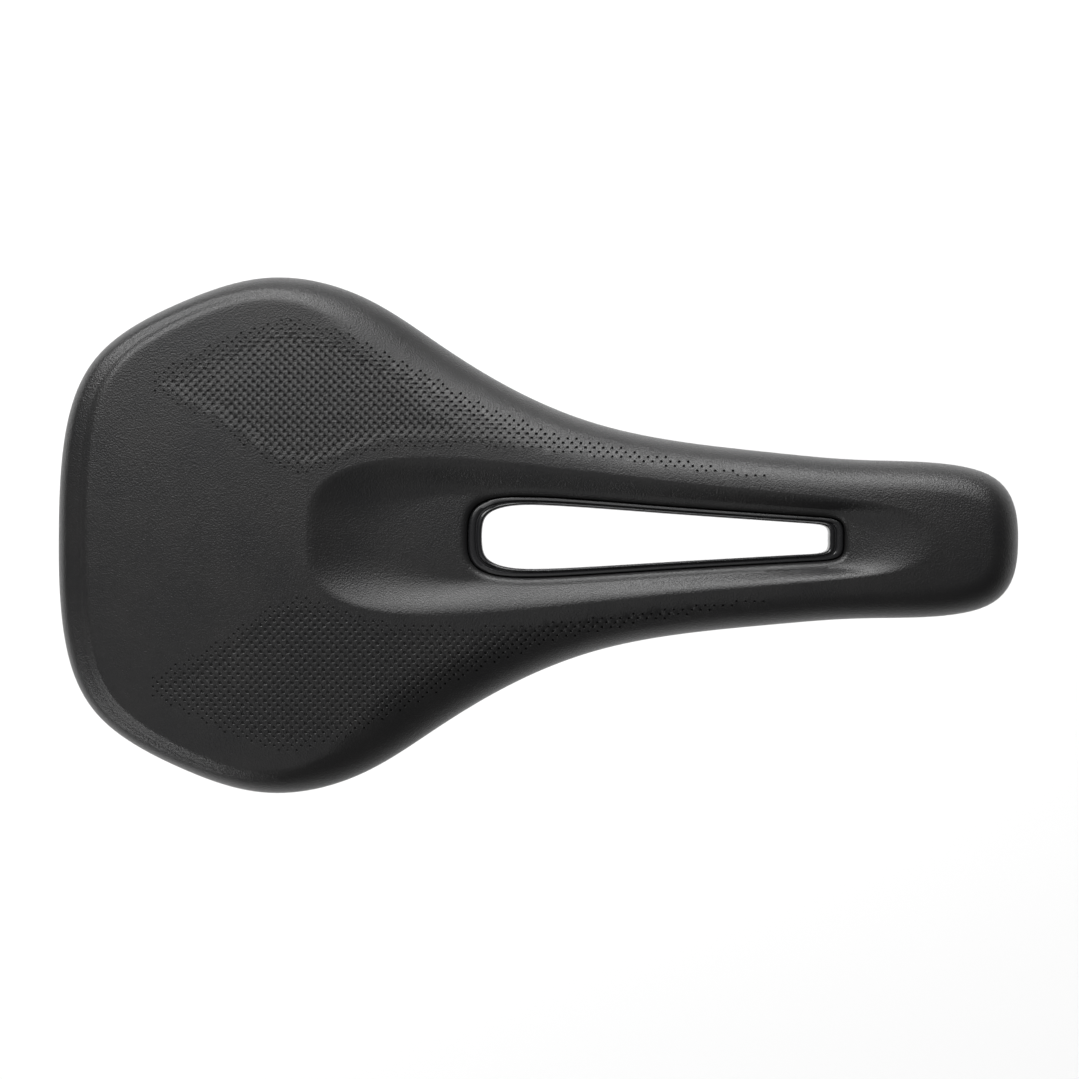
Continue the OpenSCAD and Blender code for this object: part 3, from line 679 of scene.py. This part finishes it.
def rib(height, line, under):
    """A thin wall that hangs from the shell along a line, with a rounded lower edge."""
    line = np.array(line, float)
    lengths = np.hypot(*np.diff(line, axis=0).T)
    reach = np.concatenate([[0], np.cumsum(lengths)])
    steps = np.linspace(0, reach[-1], int(reach[-1] / 2.5) + 2)
    path = np.column_stack([np.interp(steps, reach, line[:, k]) for k in (0, 1)])
    slope = np.gradient(path, axis=0)
    across = np.column_stack([-slope[:, 1], slope[:, 0]]) / np.hypot(*slope.T)[:, None]
    fade = np.clip(np.minimum(steps, reach[-1] - steps) / 5, 0.08, 1) ** 0.5
    outline = [(RIB_T / 2 + w, h) for w, h in RIB_SECTION]
    outline += [(-w, h) for w, h in reversed(outline)]
    vertices = []
    for p, c, share in zip(path, across, fade):
        top = under(*p)
        for w, h in outline:
            vertices.append((*(p + c * w), top + ROOT if h > 0 else top + h * height * share))
    around = len(outline)
    faces = ring_faces(len(path), around)
    faces += [tuple(range(around)), tuple(range(len(vertices) - around, len(vertices)))]
    return vertices, faces


def joined(parts):
    """One list of vertices and one of faces from several pairs of them."""
    vertices, faces = [], []
    for part_vertices, part_faces in parts:
        base = len(vertices)
        vertices += [tuple(v) for v in part_vertices]
        faces += [tuple(base + i for i in face) for face in part_faces]
    return vertices, faces


def make_shell():
    cuts = Sections(AROUND_COARSE)
    around = len(cuts.edge)
    low = COVER_T + GAP
    under_rows = shell_rows(cuts, SHELL_INSET + SKIRT_WALL, SHELL_T, low)
    rows = shell_rows(cuts, SHELL_INSET, 0, low) + under_rows[::-1]
    underside = np.vstack(under_rows).tolist()
    tree = BVHTree.FromPolygons(underside, ring_faces(len(under_rows), around))

    def under(x, y):
        return tree.ray_cast(Vector((x, y, -100)), Vector((0, 0, 1)))[0].z

    parts = [(np.vstack(rows), ring_faces(len(rows), around, closed=True))]
    parts += [boss(place, under) for place in boss_spots()]
    for height, line in RIBS:
        for side in (1, -1):
            parts.append(rib(height, [(x, side * y) for x, y in line], under))
    piece = new_object("shell_pan", *joined(parts))
    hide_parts("base_shell")
    return piece


# ---- rail ----


def rail_points():
    """Points along the rail's axis, with its corners rounded."""
    half = [(Vector(p), r) for p, r in RAIL]
    path = half + [(Vector((p.x, -p.y, p.z)), r) for p, r in half[::-1]]
    points = [path[0][0]]
    for (a, _), (b, r), (c, _) in zip(path, path[1:], path[2:]):
        u, v = (b - a).normalized(), (c - b).normalized()
        angle = u.angle(v)
        reach = r * math.tan(angle / 2)
        side = (v - u * u.dot(v)).normalized()
        centre = b - u * reach + side * r
        steps = max(int(math.degrees(angle) / 3), 2)
        for k in range(steps + 1):
            t = angle * k / steps
            points.append(centre + (u * math.sin(t) - side * math.cos(t)) * r)
    return points + [path[-1][0]]


def make_rail():
    """A round rod swept along the rail's axis."""
    points = rail_points()
    points = [a for a, b in zip(points, points[1:]) if (b - a).length > 0.01] + [points[-1]]
    across = Vector((0, 0, 1))
    vertices = []
    for k, p in enumerate(points):
        before, after = points[max(k - 1, 0)], points[min(k + 1, len(points) - 1)]
        way = (after - before).normalized()
        across = (across - way * across.dot(way)).normalized()
        other = way.cross(across)
        for turn in np.arange(SIDES) * 2 * math.pi / SIDES:
            vertices.append(p + (across * math.cos(turn) + other * math.sin(turn)) * RAIL_D / 2)
    faces = ring_faces(len(points), SIDES)
    faces += [tuple(range(SIDES)), tuple(range(len(vertices) - SIDES, len(vertices)))]
    piece = new_object("rail_rod", [tuple(v) for v in vertices], faces)
    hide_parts("rail")
    return piece


# ---- materials ----


def material(name, color, roughness, **inputs):
    """A material with a Principled shader. Further inputs are named with _ for each space."""
    made = bpy.data.materials.new(name)
    made.use_nodes = True
    shader = made.node_tree.nodes["Principled BSDF"]
    shader.inputs["Base Color"].default_value = (*color, 1)
    shader.inputs["Roughness"].default_value = roughness
    for key, value in inputs.items():
        shader.inputs[key.replace("_", " ")].default_value = value
    return made


def add_node(tree, kind, **settings):
    made = tree.nodes.new(kind)
    for key, value in settings.items():
        if key in made.inputs:
            made.inputs[key].default_value = value
        else:
            setattr(made, key, value)
    return made


def math_node(tree, operation, *values):
    """A Math node's output. Each value is a number or another node's output."""
    made = add_node(tree, "ShaderNodeMath", operation=operation)
    for socket, value in zip(made.inputs, values):
        if isinstance(value, bpy.types.NodeSocket):
            tree.links.new(value, socket)
        else:
            socket.default_value = value
    return made.outputs[0]


def textures(tree, *kinds):
    """Texture nodes that follow the object: (kind, settings) each."""
    place = add_node(tree, "ShaderNodeTexCoord")
    made = [add_node(tree, kind, **settings) for kind, settings in kinds]
    for texture in made:
        tree.links.new(place.outputs["Object"], texture.inputs["Vector"])
    return made


def vary(tree, source, socket, low, high):
    """Lets a texture move a shader input between two values."""
    spread = add_node(tree, "ShaderNodeMapRange")
    spread.inputs["From Min"].default_value = 0.3
    spread.inputs["From Max"].default_value = 0.7
    spread.inputs["To Min"].default_value = low
    spread.inputs["To Max"].default_value = high
    tree.links.new(source, spread.inputs["Value"])
    tree.links.new(spread.outputs["Result"], socket)


def tint(tree, source, socket, low, high):
    """Lets a texture move a colour input between two colours."""
    ramp = add_node(tree, "ShaderNodeValToRGB")
    ramp.color_ramp.elements[0].position = 0.3
    ramp.color_ramp.elements[0].color = (*low, 1)
    ramp.color_ramp.elements[1].position = 0.7
    ramp.color_ramp.elements[1].color = (*high, 1)
    tree.links.new(source, ramp.inputs["Fac"])
    tree.links.new(ramp.outputs["Color"], socket)


def emboss(tree, height, strength, distance, rounding=0):
    """Bump from a height, over edges rounded by a radius in metres."""
    bump = add_node(tree, "ShaderNodeBump", Strength=strength, Distance=distance)
    tree.links.new(height, bump.inputs["Height"])
    if rounding:
        edge = add_node(tree, "ShaderNodeBevel", samples=4, Radius=rounding)
        tree.links.new(edge.outputs["Normal"], bump.inputs["Normal"])
    shader = tree.nodes["Principled BSDF"]
    tree.links.new(bump.outputs["Normal"], shader.inputs["Normal"])


def microfibre():
    """The cover's satin black skin: a fine cellular grain and slight patches in colour and sheen."""
    made = material("microfibre", (0.01, 0.01, 0.0105), 0.42, Specular_IOR_Level=0.42)
    tree = made.node_tree
    shader = tree.nodes["Principled BSDF"]
    cells, fine, broad = textures(
        tree,
        ("ShaderNodeTexVoronoi", {"Scale": 2000}),
        ("ShaderNodeTexNoise", {"Scale": 2700, "Detail": 2}),
        ("ShaderNodeTexNoise", {"Scale": 60, "Detail": 3}),
    )
    grain = math_node(tree, "MULTIPLY_ADD", cells.outputs["Distance"], 0.6, fine.outputs["Fac"])
    emboss(tree, grain, 0.75, 0.00013)
    vary(tree, fine.outputs["Fac"], shader.inputs["Roughness"], 0.28, 0.42)
    dark, light = (0.009, 0.009, 0.0095), (0.013, 0.0125, 0.0125)
    tint(tree, broad.outputs["Fac"], shader.inputs["Base Color"], dark, light)
    return made


def moulded(name, color, roughness, scale=900, depth=0.00006, rounding=0.0, strength=0.5):
    """Moulded plastic, rubber or foam: an even grain, and slight patches in colour and sheen."""
    made = material(name, color, roughness)
    tree = made.node_tree
    shader = tree.nodes["Principled BSDF"]
    grain, broad = textures(
        tree,
        ("ShaderNodeTexNoise", {"Scale": scale, "Detail": 2}),
        ("ShaderNodeTexNoise", {"Scale": 45, "Detail": 4}),
    )
    emboss(tree, grain.outputs["Fac"], strength, depth, rounding)
    vary(tree, broad.outputs["Fac"], shader.inputs["Roughness"], roughness * 0.88, roughness * 1.12)
    light = [c * 1.25 for c in color]
    tint(tree, broad.outputs["Fac"], shader.inputs["Base Color"], color, light)
    return made


def machined(name, color, roughness, rounding=0.00025):
    """Metal with a fine turned grain."""
    made = material(name, color, roughness, Metallic=1.0)
    tree = made.node_tree
    shader = tree.nodes["Principled BSDF"]
    grain, broad = textures(
        tree,
        ("ShaderNodeTexNoise", {"Scale": 2600, "Detail": 2}),
        ("ShaderNodeTexNoise", {"Scale": 300, "Detail": 3}),
    )
    emboss(tree, grain.outputs["Fac"], 0.25, 0.00003, rounding)
    vary(tree, broad.outputs["Fac"], shader.inputs["Roughness"], roughness * 0.8, roughness * 1.3)
    tint(tree, broad.outputs["Fac"], shader.inputs["Base Color"], [c * 0.85 for c in color], color)
    return made


# Scale on the rail, in metres: pitch of its lines, half their width, half the scale's length and half
# the lines' height
TICK_PITCH = 0.005
TICK_HALF = 0.00022
SCALE_HALF = 0.0332
TICK_TALL = 0.0016


def rail_paint():
    """Satin black with a plain scale of pale lines over the clamp section."""
    made = moulded("rail_paint", (0.012, 0.012, 0.013), 0.34, scale=700, depth=0.00003)
    tree = made.node_tree
    shader = tree.nodes["Principled BSDF"]
    old = shader.inputs["Base Color"].links[0].from_socket
    place = add_node(tree, "ShaderNodeTexCoord")
    split = add_node(tree, "ShaderNodeSeparateXYZ")
    tree.links.new(place.outputs["Object"], split.inputs["Vector"])
    phase = math_node(tree, "PINGPONG", split.outputs["X"], TICK_PITCH / 2)
    ticks = math_node(tree, "LESS_THAN", phase, TICK_HALF)
    for axis, half in (("X", SCALE_HALF), ("Z", TICK_TALL)):
        limit = math_node(tree, "COMPARE", split.outputs[axis], 0, half)
        ticks = math_node(tree, "MULTIPLY", ticks, limit)
    blend = add_node(tree, "ShaderNodeMix", data_type="RGBA")
    tree.links.new(ticks, blend.inputs["Factor"])
    under, over = [socket for socket in blend.inputs if socket.type == "RGBA"]
    tree.links.new(old, under)
    over.default_value = (0.45, 0.45, 0.45, 1)
    result = next(socket for socket in blend.outputs if socket.type == "RGBA")
    tree.links.new(result, shader.inputs["Base Color"])
    return made


def paint(piece, made):
    piece.data.materials.clear()
    piece.data.materials.append(made)


def paint_frame(nodes):
    """Gives every CAD node that stays in view its finish."""
    gel = moulded("gel", (0.09, 0.17, 0.25), 0.25, scale=200)
    gel.node_tree.nodes["Principled BSDF"].inputs["Transmission Weight"].default_value = 0.5
    finishes = {
        "foam": moulded("foam", (0.07, 0.07, 0.075), 0.85, scale=1600, depth=0.0002),
        "gel": gel,
        "socket": moulded("socket", (0.012, 0.012, 0.013), 0.5, scale=1300, rounding=0.0006),
        "keeper": moulded("keeper", (0.012, 0.012, 0.013), 0.5, scale=1300, rounding=0.0006),
        "bush": moulded("bush", (0.02, 0.02, 0.021), 0.6),
        "insert": machined("brass", (0.75, 0.55, 0.27), 0.3),
        "screws": machined("zinc", (0.62, 0.63, 0.65), 0.32),
    }
    for name, piece in nodes.items():
        kind = next((k for k in finishes if k in name), None)
        if kind:
            for spot in piece.material_slots:
                spot.material = finishes[kind]


# ---- stage, lights and camera ----

VIEW_SPAN = 0.2969       # width of the view at the height of the saddle's edge
EDGE_Z = 0.037
CAMERA_AT = (0.0074, -0.0007, 1.35)      # straight above, a little off the clamp point
CAMERA_TURN = math.radians(0.39)
SENSOR_W = 36
FLOOR_BELOW = 1          # how far the floor lies below the saddle
FLOOR_HALF = 6           # half its width
WORLD_LIGHT = 0.12       # strength of the even sky


def make_stage():
    """A floor well below the saddle, so that only a faint, soft shadow falls on it."""
    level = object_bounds()[0].z - FLOOR_BELOW
    mesh = bpy.data.meshes.new("floor")
    corners = [(-1, -1), (1, -1), (1, 1), (-1, 1)]
    mesh.from_pydata([(x * FLOOR_HALF, y * FLOOR_HALF, level) for x, y in corners], [], [(0, 1, 2, 3)])
    floor = bpy.data.objects.new("floor", mesh)
    bpy.context.scene.collection.objects.link(floor)
    floor.data.materials.append(material("floor", (0.87, 0.87, 0.87), 0.9))


# Softboxes round the saddle: azimuth from +X and elevation in degrees, width, height, power in watts
SOFTBOXES = [
    ("window_low", 86, 14, 2, 0.8, 58),
    ("window_rear", 128, 22, 1, 1, 36),
    ("window_nose", 68, 40, 1.2, 1, 22),
    ("window_high", 120, 48, 1.2, 1, 22),
    ("overhead", 95, 68, 1, 1, 6),
    ("fill_high", 250, 58, 2, 1.4, 7),
    ("fill_low", 228, 13, 2.2, 0.6, 26),
]
LIGHT_AWAY = 2.5
HEART = Vector((0.01, 0, 0.03))


def make_lights():
    """Softboxes that face the saddle's heart, and a dim, even sky."""
    for name, azimuth, elevation, width, height, power in SOFTBOXES:
        data = bpy.data.lights.new(name, "AREA")
        data.shape = "RECTANGLE"
        data.size = width
        data.size_y = height
        data.energy = power
        light = bpy.data.objects.new(name, data)
        a, e = math.radians(azimuth), math.radians(elevation)
        out = Vector((math.cos(a) * math.cos(e), math.sin(a) * math.cos(e), math.sin(e)))
        light.location = HEART + out * LIGHT_AWAY
        light.rotation_euler = out.to_track_quat("Z", "Y").to_euler()
        bpy.context.scene.collection.objects.link(light)
    world = bpy.data.worlds.new("studio")
    world.use_nodes = True
    world.node_tree.nodes["Background"].inputs["Color"].default_value = (1, 1, 1, 1)
    world.node_tree.nodes["Background"].inputs["Strength"].default_value = WORLD_LIGHT
    bpy.context.scene.world = world


def make_camera():
    """A camera straight above, turned slightly."""
    data = bpy.data.cameras.new("camera")
    data.sensor_width = SENSOR_W
    data.lens = SENSOR_W * (CAMERA_AT[2] - EDGE_Z) / VIEW_SPAN
    camera = bpy.data.objects.new("camera", data)
    camera.location = CAMERA_AT
    camera.rotation_euler = (0, 0, CAMERA_TURN)
    bpy.context.scene.collection.objects.link(camera)
    bpy.context.scene.camera = camera


def main():
    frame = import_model()
    paint_frame(frame["nodes"])
    paint(make_cover(), microfibre())
    paint(make_liner(), moulded("liner", (0.011, 0.011, 0.012), 0.26, scale=1400, depth=0.00002))
    paint(make_shell(), moulded("shell", (0.014, 0.014, 0.015), 0.48, scale=1500, depth=0.0001))
    paint(make_rail(), rail_paint())
    make_stage()
    make_lights()
    make_camera()
    bpy.context.scene.view_settings.view_transform = "Standard"


main()
